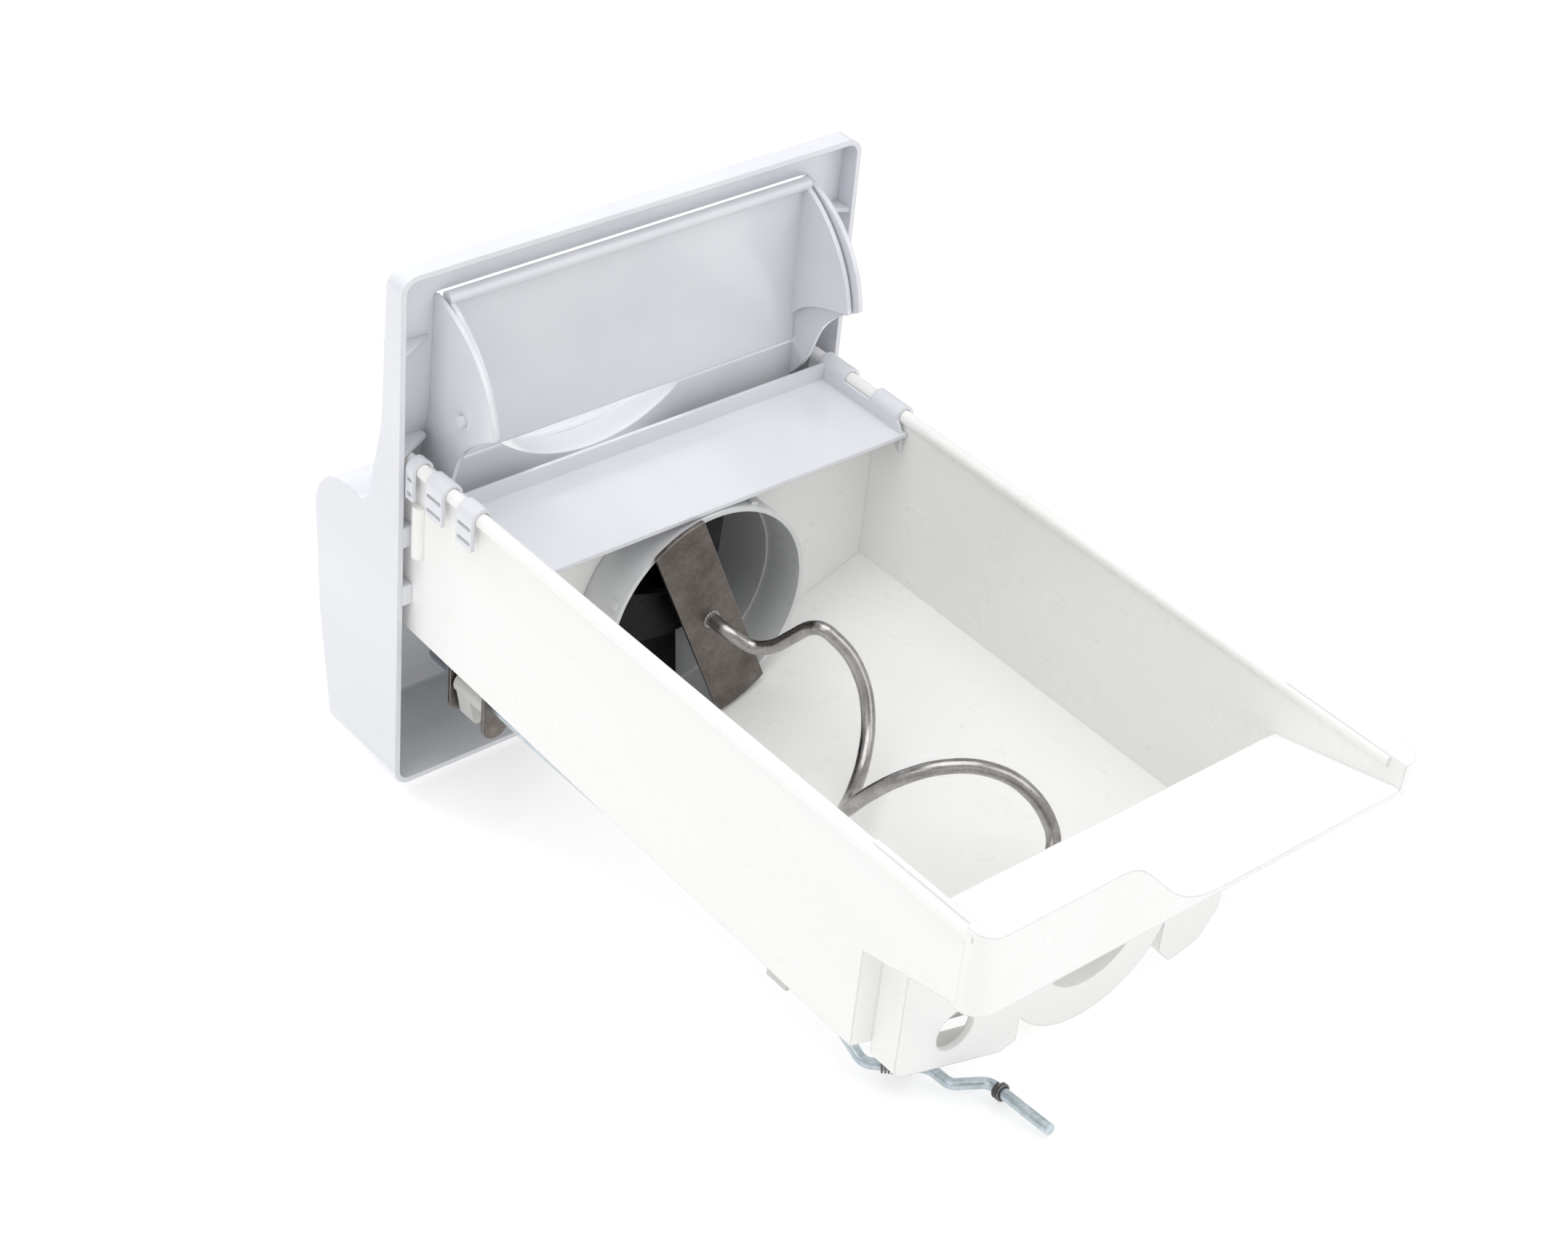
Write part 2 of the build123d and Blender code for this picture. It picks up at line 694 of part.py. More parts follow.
with BuildPart() as front_bearing:
    bar(drum_front, bearing_back, bearing_radius)
    bar(drum_front - bearing_flange_wall, drum_front, bearing_flange_radius)
    bar(drum_front - bearing_flange_wall, bearing_back, shaft_radius + running_gap, mode=Mode.SUBTRACT)

save(front_bearing.part, "front_bearing")

bush_seat = bin_back - bin_wall - seat_gap

with BuildPart() as rear_bush:
    bar(bush_seat - bush_flange_wall, bush_seat, bush_flange_radius)
    bar(bush_seat, bin_back + 1, bush_radius)
    bar(bush_seat - bush_flange_wall, bin_back + 1, bush_bore + running_gap, mode=Mode.SUBTRACT)

save(rear_bush.part, "rear_bush")

# --- Fixed blades: plates carried by the drum, between the turning blades ---

with BuildPart() as fixed_blades:
    for low_y in fixed_blade_y:
        with BuildSketch(Plane.XZ.offset(-low_y)):
            low_angle, high_angle = fixed_blade_angles
            mid_angle = (low_angle + high_angle) / 2
            inner, outer = hub_radius + 2, drum_bore - seat_gap
            with BuildLine():
                ThreePointArc(polar(outer, low_angle), polar(outer, mid_angle), polar(outer, high_angle))
                Line(polar(outer, high_angle), polar(inner, high_angle))
                ThreePointArc(polar(inner, high_angle), polar(inner, mid_angle), polar(inner, low_angle))
                Line(polar(inner, low_angle), polar(outer, low_angle))
            make_face()
        extrude(amount=-fixed_blade_wall)

save(fixed_blades.part, "fixed_blades")

# --- Auger line: shaft, turning blades, spacers, paddle plate, wire and drive coupler ---

with BuildPart() as crusher_shaft:
    bar(shaft_shoulder, shaft_back, shaft_radius)
    bar(stud_front, shaft_shoulder, stud_radius)

save(crusher_shaft.part, "crusher_shaft")

for place, low_y in rotor_y.items():
    with BuildPart() as rotor_blade:
        bar(low_y, low_y + blade_wall, hub_radius)
        for arm in rotor_arms:
            angle = arm + rotor_turn[place]
            with BuildSketch(Plane.XZ.offset(-low_y)):
                with BuildLine():
                    ThreePointArc(polar(10, angle - 60), polar(28, angle - 22),
                                  polar(rotor_radius, angle - 6))
                    ThreePointArc(polar(rotor_radius, angle - 6), polar(rotor_radius, angle + 7),
                                  polar(rotor_radius, angle + 20))
                    ThreePointArc(polar(rotor_radius, angle + 20), polar(30, angle + 26),
                                  polar(10, angle + 60))
                    Line(polar(10, angle + 60), polar(10, angle - 60))
                make_face()
            extrude(amount=-blade_wall)
        bar(low_y, low_y + blade_wall, shaft_radius + fit_gap, mode=Mode.SUBTRACT)
    save(rotor_blade.part, f"rotor_blade_{place}")

with BuildPart() as blade_spacers:
    starts = [bearing_back + 0.3] + [y + blade_wall + fit_gap for y in sorted(rotor_y.values())]
    ends = [y - fit_gap for y in sorted(rotor_y.values())] + [plate_y - fit_gap]
    for low_y, high_y in zip(starts, ends):
        bar(low_y, high_y, spacer_radius)
    bar(starts[0], ends[-1], shaft_radius + running_gap, mode=Mode.SUBTRACT)

save(blade_spacers.part, "blade_spacers")

with BuildPart() as shaft_washer:
    bar(shaft_shoulder - washer_wall, shaft_shoulder, washer_radius)
    bar(shaft_shoulder - washer_wall, shaft_shoulder, stud_radius + fit_gap, mode=Mode.SUBTRACT)

save(shaft_washer.part, "shaft_washer")

nut_back = shaft_shoulder - washer_wall

with BuildPart() as shaft_nut:
    with BuildSketch(Plane.XZ.offset(nut_wall - nut_back)):
        with Locations((0, axis_z)):
            RegularPolygon(nut_radius, 6)
            Circle(stud_radius + fit_gap, mode=Mode.SUBTRACT)
    extrude(amount=-nut_wall)

save(shaft_nut.part, "shaft_nut")

with BuildPart() as auger_plate:
    with BuildSketch(Plane.XZ.offset(-plate_y)):
        with Locations(Location((0, axis_z), plate_angle)):
            Rectangle(3 * plate_tip_radius, plate_width)
        with Locations((0, axis_z)):
            Circle(plate_tip_radius, mode=Mode.INTERSECT)
    extrude(amount=-plate_wall)

save(auger_plate.part, "auger_plate")

wire_start = plate_y + plate_wall
wire_end = coupler_hub_front + 9
lead_in = [(0, wire_start, axis_z), (0, 76, axis_z), (-7.5, 85, axis_z - 6.5), (-12, 93.5, axis_z - 2),
           (-16, 109.5, axis_z + 17)]
turn_length = helix_pitch * helix_turn_step / 360
helix_steps = int((helix_end - helix_start) / turn_length)
helix_run = [helix_point(helix_start + turn_length * step) for step in range(helix_steps + 1)]
helix_last = helix_start + turn_length * helix_steps
tail_x, _, tail_z = helix_point(helix_last + turn_length)
tail = [(0.6 * tail_x, helix_last + 6.75, axis_z + 0.7 * (tail_z - axis_z)),
        (0, coupler_hub_front - 8, axis_z), (0, wire_end, axis_z)]
wire_points = lead_in + helix_run + tail

with BuildPart() as auger_wire:
    with BuildLine() as wire_path:
        FilletPolyline(*wire_points, radius=smooth_radii(wire_points))
    with BuildSketch(Plane.XZ.offset(-wire_start)):
        with Locations((0, axis_z)):
            Circle(wire_radius)
    sweep(path=wire_path.line)

save(auger_wire.part, "auger_wire")

disc_front = bin_back + coupler_gap
disc_back = disc_front + coupler_wall

with BuildPart() as drive_coupler:
    bar(coupler_hub_front, disc_front, bush_bore)
    bar(disc_front, disc_back, coupler_radius)
    with BuildSketch(Plane.XZ.offset(-disc_back)):
        with Locations((-lug_x, axis_z), (lug_x, axis_z)):
            RectangleRounded(2 * lug_half_width, lug_length, 1.5)
    extrude(amount=disc_back - lug_back)
    bar(coupler_hub_front, wire_end, wire_radius + fit_gap, mode=Mode.SUBTRACT)

save(drive_coupler.part, "drive_coupler")

# --- Discharge chute under the nose of the drum, with its gate and lever ---

chute_mid = (chute_front + chute_back) / 2
chute_depth = chute_back - chute_front

with BuildPart() as discharge_chute:
    for inset, mode in ((0, Mode.ADD), (chute_wall, Mode.SUBTRACT)):
        for height, half in ((chute_low, chute_low_half), (chute_top, chute_top_half)):
            with BuildSketch(Plane.XY.offset(height)):
                with Locations((0, chute_mid)):
                    Rectangle(2 * (half - inset), chute_depth - 2 * inset)
        loft(mode=mode)
    bar(chute_front - 1, chute_back + 1, nose_radius + drum_gap / 2, mode=Mode.SUBTRACT)
    bar(chute_front - 1, chute_back + 1, gate_shaft_radius + running_gap, gate_x, gate_z, Mode.SUBTRACT)

save(discharge_chute.part, "discharge_chute")

with BuildPart() as ice_gate:
    bar(gate_shaft_front, chute_back - gate_end_gap, gate_shaft_radius, gate_x, gate_z)
    with BuildSketch(Plane.XZ.offset(-(chute_front + chute_wall + gate_end_gap))):
        with Locations(Location((gate_x, gate_z), -gate_tilt)):
            with Locations((0, -gate_length / 2)):
                Rectangle(gate_wall, gate_length)
    extrude(amount=-(chute_depth - 2 * chute_wall - 2 * gate_end_gap))

save(ice_gate.part, "ice_gate")

lever_angle = degrees(atan2(rod_pin_z - gate_z, rod_pin_x - gate_x))

with BuildPart() as gate_lever:
    with BuildSketch(Plane.XZ.offset(-lever_y)):
        with Locations(Location((gate_x, gate_z), lever_angle)):
            with Locations((lever_reach / 2, 0)):
                SlotCenterToCenter(lever_reach, lever_height)
            with Locations(((lever_reach + lever_slot_start) / 2, 0)):
                SlotCenterToCenter(lever_reach - lever_slot_start, 2 * (rod_radius + lever_slot_gap),
                                   mode=Mode.SUBTRACT)
            Circle(gate_shaft_radius + fit_gap, mode=Mode.SUBTRACT)
    extrude(amount=-lever_wall)

save(gate_lever.part, "gate_lever")

# --- Selector rod with its cam, spring and clip ---

rod_points = [(rod_pin_x, rod_tip_y, rod_pin_z), (rod_pin_x, rod_front_crank_y, rod_pin_z),
              (rod_x, rod_front_crank_y, rod_z), (rod_x, bin_back - 36, rod_z),
              (rod_x, bin_back - 12, rod_z - 11.4), (rod_x - 19, bin_back + 5, rod_z - 10.7),
              (rod_x - 19, bin_back + 17, rod_z - 9.8), (rod_x - 31.5, bin_back + 25.5, rod_z - 8.8),
              (rod_x - 30, lip_back - 1, rod_z - 4.3)]
rod_bends = (6, 6, 12, 7, 6, 5, 6)

with BuildPart() as selector_rod:
    with BuildLine() as rod_path:
        FilletPolyline(*rod_points, radius=rod_bends)
    with BuildSketch(Plane.XZ.offset(-rod_tip_y)):
        with Locations((rod_pin_x, rod_pin_z)):
            Circle(rod_radius)
    sweep(path=rod_path.line)

save(selector_rod.part, "selector_rod")

# coils wound about the rod: name, corners of its straight run, start, wire radius, pitch, turns
coils = (("rod_spring", rod_points[4], rod_points[5], 6.5, 0.45, 1.35, 9),
         ("rod_clip", rod_points[7], rod_points[8], 5, 0.5, 1.3, 2.5))
for name, run_start, run_end, inset, coil_wire, pitch, turns in coils:
    run = (Vector(*run_end) - Vector(*run_start)).normalized()
    with BuildPart() as coil:
        with BuildLine() as coil_path:
            Helix(pitch=pitch, height=pitch * turns, radius=rod_radius + coil_gap + coil_wire,
                  center=Vector(*run_start) + run * inset, direction=run)
        with BuildSketch(Plane(origin=coil_path.line @ 0, z_dir=coil_path.line % 0)):
            Circle(coil_wire)
        sweep(path=coil_path.line, is_frenet=True)
    save(coil.part, name)

with BuildPart() as rod_cam:
    bar(*cam_y, cam_radius, rod_x, rod_z)
    with BuildSketch(Plane.XZ.offset(-cam_lobe_y[0])):
        with BuildLine():
            FilletPolyline((rod_x - cam_radius + 0.5, rod_z - 2), (rod_x - 4, cam_lobe_low + 2),
                           (rod_x + 2, cam_lobe_low), (rod_x + cam_radius - 0.5, rod_z - 2),
                           radius=(2.5, 2.5))
            Line((rod_x + cam_radius - 0.5, rod_z - 2), (rod_x - cam_radius + 0.5, rod_z - 2))
        make_face()
    extrude(amount=cam_lobe_y[0] - cam_lobe_y[1])
    bar(*cam_y, rod_radius + fit_gap, rod_x, rod_z, Mode.SUBTRACT)

save(rod_cam.part, "rod_cam")

# --- Bracket and rear guide that carry the rod under the floor of the bin ---

floor_seat = Pos(0, 0, -seat_gap) * tub_body.part
bracket_back = bracket_y[1] + bracket_wall
base_block = Pos(rod_x, (bracket_y[0] + bracket_back) / 2, rod_z + 20) * Box(
    2 * bracket_half, bracket_back - bracket_y[0], 24)
base_strip = base_block & (Pos(0, 0, -seat_gap - bracket_base) * tub_body.part)

with BuildPart() as rod_bracket:
    for low_y in bracket_y:
        with BuildSketch(Plane.XZ.offset(-low_y)):
            with Locations((rod_x, bracket_low)):
                Circle(bracket_half)
            with Locations((rod_x, (bracket_low + axis_z) / 2)):
                Rectangle(2 * bracket_half, axis_z - bracket_low)
        extrude(amount=-bracket_wall)
    add(base_strip)
    bar(bracket_y[0], bracket_back, rod_radius + running_gap, rod_x, rod_z, Mode.SUBTRACT)
    add(floor_seat, mode=Mode.SUBTRACT)

save(rod_bracket.part, "rod_bracket")

with BuildPart() as rear_rod_guide:
    with BuildSketch(Plane.XZ.offset(-guide_y[0])):
        with Locations((rod_x, (guide_low + axis_z) / 2)):
            Rectangle(2 * guide_half, axis_z - guide_low)
    extrude(amount=guide_y[0] - guide_y[1])
    bar(*guide_y, rod_radius + running_gap, rod_x, rod_z, Mode.SUBTRACT)
    add(floor_seat, mode=Mode.SUBTRACT)

save(rear_rod_guide.part, "rear_rod_guide")

# --- Screws: four through the bin's walls into the cover, four through the drum's flange ---

with BuildPart() as cover_screws:
    for side, wall_x in ((1, bin_left - bin_wall), (-1, bin_right + bin_wall)):
        with BuildSketch(Plane.YZ.offset(wall_x)):
            with Locations(*[(cover_screw_y, height) for height in cover_screw_z]):
                Circle(screw_head_radius)
        extrude(amount=-side * screw_head_height)
        with BuildSketch(Plane.YZ.offset(wall_x)):
            with Locations(*[(cover_screw_y, height) for height in cover_screw_z]):
                Circle(screw_radius - fit_gap)
        extrude(amount=side * screw_length)

save(cover_screws.part, "cover_screws")

flange_face = front_wall_y - flange_wall - seat_gap

with BuildPart() as housing_screws:
    for radius, low_y, high_y in (
            (flange_screw_head, flange_face - flange_screw_head_height, flange_face),
            (flange_screw_radius - fit_gap, flange_face, front_wall_y + bin_wall - seat_gap)):
        with BuildSketch(Plane.XZ.offset(-low_y)):
            with Locations((0, axis_z)):
                with PolarLocations(flange_screw_ring, 4, start_angle=45):
                    Circle(radius)
        extrude(amount=low_y - high_y)

save(housing_screws.part, "housing_screws")
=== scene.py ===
# %% [markdown]
# # A freezer's slide-out ice bin
# The imported model is the frame that everything here is built on. It holds every moulded wall, blade
# and wire at its real size in metres, so this lesson only adds finishes, small repeated details,
# a floor, lights and a camera.

import json
from math import pi

import bpy
from mathutils import Matrix, Vector

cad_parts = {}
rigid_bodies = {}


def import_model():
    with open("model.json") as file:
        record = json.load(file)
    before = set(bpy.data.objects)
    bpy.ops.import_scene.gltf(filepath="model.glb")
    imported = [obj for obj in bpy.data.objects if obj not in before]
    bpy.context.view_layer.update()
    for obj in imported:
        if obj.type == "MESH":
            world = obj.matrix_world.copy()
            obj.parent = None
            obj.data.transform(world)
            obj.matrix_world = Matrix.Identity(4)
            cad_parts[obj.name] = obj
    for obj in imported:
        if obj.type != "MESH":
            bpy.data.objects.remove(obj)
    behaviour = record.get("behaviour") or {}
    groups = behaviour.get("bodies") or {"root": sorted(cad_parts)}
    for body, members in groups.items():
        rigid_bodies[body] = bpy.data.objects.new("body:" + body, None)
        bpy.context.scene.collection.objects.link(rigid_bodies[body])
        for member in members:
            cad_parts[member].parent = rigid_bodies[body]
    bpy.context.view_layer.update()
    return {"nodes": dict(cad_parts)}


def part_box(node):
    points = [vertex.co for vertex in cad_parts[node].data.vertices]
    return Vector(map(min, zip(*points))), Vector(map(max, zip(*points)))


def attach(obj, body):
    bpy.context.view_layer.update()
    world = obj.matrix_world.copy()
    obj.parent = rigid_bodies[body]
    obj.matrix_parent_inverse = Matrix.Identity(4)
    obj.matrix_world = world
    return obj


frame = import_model()
nodes = frame["nodes"]
MM = 0.001

# %% [markdown]
# ## Writing shader maths as plain sums
# A finish is a small graph of nodes. Adding each Math node by hand hides the idea, so a class wraps
# a socket and turns +, - and * into Math nodes. The reflected form of - lets a number come first, as
# in 1 - mask. Numbers alone are worked out in Python and never become nodes.

# %% A socket that can be added and multiplied
def plug(tree, source, target):
    """Sets an input to a number or colour, or links another node's output to it."""
    if isinstance(source, Value):
        tree.links.new(source.socket, target)
    else:
        target.default_value = source


class Value:
    """One value that varies over a surface."""

    def __init__(self, tree, socket):
        self.tree, self.socket = tree, socket

    def sum_with(self, operation, first, second):
        node = self.tree.nodes.new("ShaderNodeMath")
        node.operation = operation
        plug(self.tree, first, node.inputs[0])
        plug(self.tree, second, node.inputs[1])
        return Value(self.tree, node.outputs[0])

    def __add__(self, other):
        return self.sum_with("ADD", self, other)

    def __sub__(self, other):
        return self.sum_with("SUBTRACT", self, other)

    def __rsub__(self, other):
        return self.sum_with("SUBTRACT", other, self)

    def __mul__(self, other):
        return self.sum_with("MULTIPLY", self, other)


print("sums of sockets are ready")

# %% [markdown]
# ## One place to start every finish
# Each finish has a Principled shader and the same few ingredients: noise at some size, noise drawn
# out along one direction, and a mask of the edges. All of them read Object coordinates, which are
# metres here, so a pattern keeps its real size on every piece. Constant numbers are set straight on
# the shader, and only what varies is linked.

# %% A finish and its ingredients
class Finish:
    """A material that is built up from a few named ingredients."""

    def __init__(self, name, **constants):
        self.material = bpy.data.materials.new(name)
        self.material.use_nodes = True
        self.tree = self.material.node_tree
        self.shader = next(n for n in self.tree.nodes if n.type == "BSDF_PRINCIPLED")
        for socket, number in constants.items():
            self.shader.inputs[socket.replace("_", " ")].default_value = number
        self.place = self.node("ShaderNodeTexCoord", {}, {}, "Object")

    def node(self, kind, settings, inputs, output=0):
        """Adds a node: its settings first, a ramp's stops among them, then its inputs."""
        made = self.tree.nodes.new(kind)
        for setting, choice in settings.items():
            if setting == "stops":
                while len(made.color_ramp.elements) < len(choice):
                    made.color_ramp.elements.new(0.5)
                for element, (position, colour) in zip(made.color_ramp.elements, choice):
                    element.position, element.color = position, (*colour, 1)
            else:
                setattr(made, setting, choice)
        for socket, value in inputs.items():
            plug(self.tree, value, made.inputs[socket])
        return Value(self.tree, made.outputs[output])

    def noise(self, size, detail=3, stretch=(1, 1, 1), roughness=0.5):
        """Noise whose blobs are about size metres wide, drawn out by stretch along X, Y and Z."""
        place = self.place
        if stretch != (1, 1, 1):
            place = self.node("ShaderNodeMapping", {"vector_type": "TEXTURE"},
                              {"Vector": place, "Scale": stretch})
        return self.node("ShaderNodeTexNoise", {}, {
            "Vector": place, "Scale": 1 / size, "Detail": detail, "Roughness": roughness})

    def limits(self, value, low, high, to_low=0.0, to_high=1.0):
        """Stretches the part of a value between low and high over a new range, and clips the rest."""
        return self.node("ShaderNodeMapRange", {"interpolation_type": "SMOOTHSTEP"}, {
            "Value": value, "From Min": low, "From Max": high, "To Min": to_low, "To Max": to_high})

    def mix(self, mask, first, second):
        """Goes from one colour to another as the mask goes from 0 to 1."""
        return self.node("ShaderNodeMix", {"data_type": "RGBA"}, {0: mask, 6: first, 7: second}, 2)

    def soft_edges(self, radius):
        """The normal of a shape whose edges are eased by radius, and a mask of those edges."""
        eased = self.node("ShaderNodeBevel", {"samples": 6}, {"Radius": radius})
        plain = self.node("ShaderNodeNewGeometry", {}, {}, "True Normal")
        likeness = self.node("ShaderNodeVectorMath", {"operation": "DOT_PRODUCT"},
                             {0: eased, 1: plain}, "Value")
        return eased, self.limits(1 - likeness, 0.01, 0.2)

    def bump(self, height, depth, normal=None):
        """Raises the surface by up to depth metres where height is 1."""
        inputs = {"Height": height, "Distance": depth, "Strength": 1.0}
        if normal is not None:
            inputs["Normal"] = normal
        return self.node("ShaderNodeBump", {}, inputs)

    def finish(self, colour, roughness, normal):
        """Links what varies to the shader."""
        plug(self.tree, colour, self.shader.inputs["Base Color"])
        plug(self.tree, roughness, self.shader.inputs["Roughness"])
        plug(self.tree, normal, self.shader.inputs["Normal"])
        return self.material


print("finishes can be mixed from noise, edges and bumps")

# %% [markdown]
# ## Moulded plastic
# Injection-moulded parts look alive because they are never quite even: the gloss carries a faint
# orange peel, the colour drifts where the melt flowed, handling dulls the gloss in fine streaks, and
# edges are eased by the mould. One function makes all the plastics, and their numbers tell apart
# the cool glossy cover, the milky bin, the drum and the duller bearings. The bin's faint emission
# stands in for the light that comes through its thin wall.

# %% The plastics
cloud_size = 0.06
gloss_patch_size = 0.02
scuff_size = 0.003


def plastic(name, colour, drift, gloss, peel_size, peel_depth, edge, flow=(1, 6, 1), **constants):
    """A moulded plastic: colour and its drift, lowest and highest roughness, and its peel."""
    skin = Finish(name, **constants)
    cloud = skin.noise(cloud_size, 3, flow)
    tone = skin.mix(skin.limits(cloud, 0.35, 0.65), (*colour, 1), (*drift, 1))
    eased, edges = skin.soft_edges(edge)
    tone = skin.mix(edges * 0.35, tone, (*(min(1, c * 1.12) for c in colour), 1))
    scuff = skin.limits(skin.noise(scuff_size, 2, (1, 10, 2)), 0.50, 0.80)
    roughness = skin.limits(skin.noise(gloss_patch_size, 3), 0.3, 0.7, *gloss) + scuff * 0.04 + edges * 0.05
    return skin.finish(tone, roughness, skin.bump(skin.noise(peel_size, 2), peel_depth, eased))


even_glow = (1.0, 0.97, 0.90)
cover_white = plastic("cover_white", (0.745, 0.755, 0.79), (0.715, 0.725, 0.765), (0.14, 0.24),
                      0.0035, 0.00005, 0.0008, Coat_Weight=0.4, Coat_Roughness=0.07,
                      Subsurface_Weight=0.05, Subsurface_Scale=0.002, Subsurface_Radius=even_glow)
bin_milky = plastic("bin_milky", (0.845, 0.845, 0.835), (0.825, 0.822, 0.80), (0.26, 0.40),
                    0.009, 0.00003, 0.0016, Subsurface_Weight=0.08, Subsurface_Scale=0.003,
                    Subsurface_Radius=even_glow, Emission_Color=(1.0, 1.0, 0.97, 1),
                    Emission_Strength=0.06)
drum_white = plastic("drum_white", (0.70, 0.71, 0.715), (0.66, 0.67, 0.68), (0.26, 0.36),
                     0.003, 0.00005, 0.0005, Subsurface_Weight=0.05, Subsurface_Scale=0.002,
                     Subsurface_Radius=even_glow)
bearing_white = plastic("bearing_white", (0.66, 0.66, 0.64), (0.60, 0.60, 0.57), (0.46, 0.60),
                        0.0012, 0.00006, 0.0004, flow=(1, 2, 1))
print("plastics:", cover_white.name, bin_milky.name, drum_white.name, bearing_white.name)

# %% [markdown]
# ## Steel
# The steels differ in how they were made. The paddle plate was cut from hot-rolled sheet and is
# blotched brown and grey, so its colour comes from two sizes of noise on a ramp. Drawn wire is bright
# with fine lines along it. Zinc plating is pale and bluish with a fine spangle. The blades are blacked
# and only their rubbed edges shine.

# %% The steels
line_size = 0.0006
grain_size = 0.0007


def steel(name, stops, gloss, blotch, streak, grain_depth, edge, bright, **constants):
    """A steel: its ramp of colours, roughness range, size of blotches and the way of its streaks."""
    skin = Finish(name, Metallic=1.0, **constants)
    blotches = skin.noise(blotch, 5, roughness=0.62) * 0.72 + skin.noise(blotch / 9, 3) * 0.28
    tone = skin.node("ShaderNodeValToRGB", {"stops": stops}, {"Fac": blotches})
    eased, edges = skin.soft_edges(edge)
    tone = skin.mix(edges * 0.7, tone, (*bright, 1))
    lines = skin.noise(line_size, 3, streak)
    roughness = skin.limits(blotches, 0.35, 0.65, *gloss) + lines * 0.10 - edges * 0.06
    grain = lines * 0.6 + skin.noise(grain_size, 2) * 0.4
    return skin.finish(tone, roughness, skin.bump(grain, grain_depth, eased))


plate_brown = steel("plate_brown", [(0.32, (0.105, 0.090, 0.082)), (0.46, (0.160, 0.140, 0.129)),
                                    (0.58, (0.205, 0.184, 0.171)), (0.72, (0.300, 0.276, 0.260))],
                    (0.30, 0.44), 0.016, (1, 1, 2.5), 0.00004, 0.0005, (0.50, 0.48, 0.46))
wire_bright = steel("wire_bright", [(0.32, (0.300, 0.285, 0.275)), (0.50, (0.400, 0.384, 0.372)),
                                    (0.72, (0.540, 0.524, 0.510))],
                    (0.17, 0.26), 0.007, (1, 12, 1), 0.00001, 0.0004, (0.46, 0.45, 0.44))
zinc_blue = steel("zinc_blue", [(0.32, (0.38, 0.44, 0.48)), (0.55, (0.58, 0.65, 0.69)),
                                (0.74, (0.78, 0.84, 0.88))],
                  (0.26, 0.42), 0.004, (1, 9, 1), 0.00004, 0.0003, (0.86, 0.9, 0.93))
blade_black = steel("blade_black", [(0.35, (0.012, 0.012, 0.014)), (0.60, (0.028, 0.028, 0.032)),
                                    (0.76, (0.055, 0.055, 0.06))],
                    (0.34, 0.50), 0.012, (3, 1, 3), 0.00005, 0.0004, (0.20, 0.20, 0.21))
# This dark spring steel is also put on the screw crosses, as painted shade of their recesses.
spring_dark_and_slot_shade = steel("spring_dark_and_slot_shade", [(0.35, (0.10, 0.09, 0.085)), (0.65, (0.26, 0.25, 0.245))],
                    (0.28, 0.40), 0.003, (1, 1, 1), 0.00003, 0.0002, (0.5, 0.49, 0.48))
print("steels:", plate_brown.name, wire_bright.name, zinc_blue.name, blade_black.name,
      spring_dark_and_slot_shade.name)

# %% [markdown]
# ## Each piece gets its finish
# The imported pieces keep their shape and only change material. The list runs from finish to pieces,
# because that is how the real parts come: several from one shot of plastic or one roll of wire.

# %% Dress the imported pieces
dressed = [
    (cover_white, ["front_cover", "access_frame", "access_flap", "deflector_tray"]),
    (bin_milky, ["ice_bin"]),
    (drum_white, ["crusher_housing", "discharge_chute", "ice_gate", "gate_lever"]),
    (bearing_white, ["front_bearing", "rear_bush", "drive_coupler", "rod_cam", "rear_rod_guide"]),
    (blade_black, ["fixed_blades", "rotor_blade_rear", "rotor_blade_middle", "rotor_blade_front",
                   "blade_spacers"]),
    (plate_brown, ["auger_plate", "rod_bracket"]),
    (wire_bright, ["auger_wire"]),
    (zinc_blue, ["selector_rod", "crusher_shaft", "shaft_nut", "shaft_washer", "cover_screws",
                 "housing_screws"]),
    (spring_dark_and_slot_shade, ["rod_spring", "rod_clip"]),
]
for material, names in dressed:
    for name in names:
        nodes[name].data.materials.clear()
        nodes[name].data.materials.append(material)
undressed = set(nodes) - {name for _, names in dressed for name in names}
print("pieces without a finish:", sorted(undressed))

# %% [markdown]
# ## A small toolkit for Geometry Nodes
# What repeats is made by a node tree: the points are laid out by a rule, a small shape is placed on
# each, and the result is realised and given its finish. The trees are wired in code, so two helpers
# keep that readable. When a tree has run, its result becomes a plain mesh that rides on one body.

